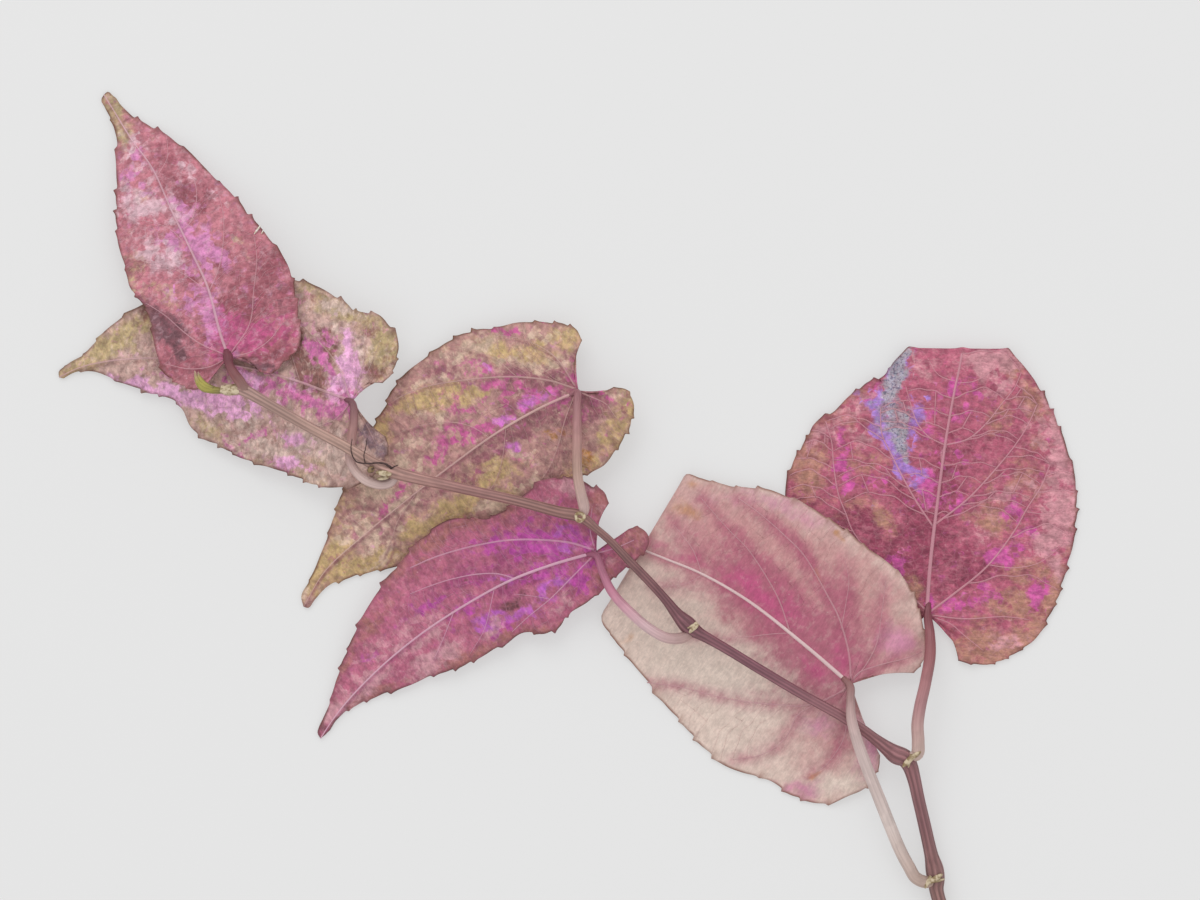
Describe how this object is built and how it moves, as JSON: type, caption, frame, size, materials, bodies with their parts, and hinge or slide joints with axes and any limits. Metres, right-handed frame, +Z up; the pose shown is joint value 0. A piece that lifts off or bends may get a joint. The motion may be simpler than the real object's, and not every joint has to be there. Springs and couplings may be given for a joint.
{
  "type": "rex begonia vine shoot",
  "caption": "Picked zigzag vine shoot with heart-shaped, toothed leaves on long stalks, lying flat with the leaf undersides up.",
  "frame": {"origin": "centre of the shoot's bounding box in plan, on the surface that it lies on", "axes": "+X towards the cut end of the stem, along the longest extent; +Y from the cut end's side to the side of the topmost leaf; +Z up, out of the undersides of the leaves"},
  "size_m": [0.2854, 0.2384, 0.0209],
  "materials": {
    "stem": "smooth, finely grooved along its length, dark mauve-brown",
    "pale_stalk": "smooth, pale cream-pink",
    "rose_stalk": "smooth, dusty rose",
    "cream_stub": "matte, cream",
    "green_bud": "smooth, yellow-green",
    "dark_tendril": "matte, dark brown",
    "beige_blade": "matte underside of a leaf, cream-beige with rose-pink along the midrib",
    "crimson_blade": "matte underside of a leaf, crimson with olive-brown margins",
    "magenta_blade": "matte underside of a leaf, violet-magenta with brown margins",
    "olive_blade": "matte underside of a leaf, olive-ochre with pink between the veins",
    "lilac_blade": "matte underside of a leaf, lilac-pink and tan with an olive-yellow tip",
    "rose_blade": "matte underside of a leaf, rose and lilac-pink with an olive-yellow tip"
  },
  "bodies": {
    "root": {"stem": "stem", "petiole_1": "pale_stalk", "petiole_2": "rose_stalk", "petiole_3": "rose_stalk", "petiole_4": "rose_stalk", "petiole_5": "rose_stalk", "petiole_6": "rose_stalk", "stub_1": "cream_stub", "stub_2": "cream_stub", "stub_3": "cream_stub", "stub_4": "cream_stub", "stub_5": "cream_stub", "stub_6": "cream_stub", "leaf_1": "beige_blade", "leaf_2": "crimson_blade", "leaf_3": "magenta_blade", "leaf_4": "olive_blade", "leaf_5": "lilac_blade", "leaf_6": "rose_blade", "tendril": "dark_tendril", "bud_5": "green_bud", "bud_6": "green_bud"}
  },
  "joints": []
}
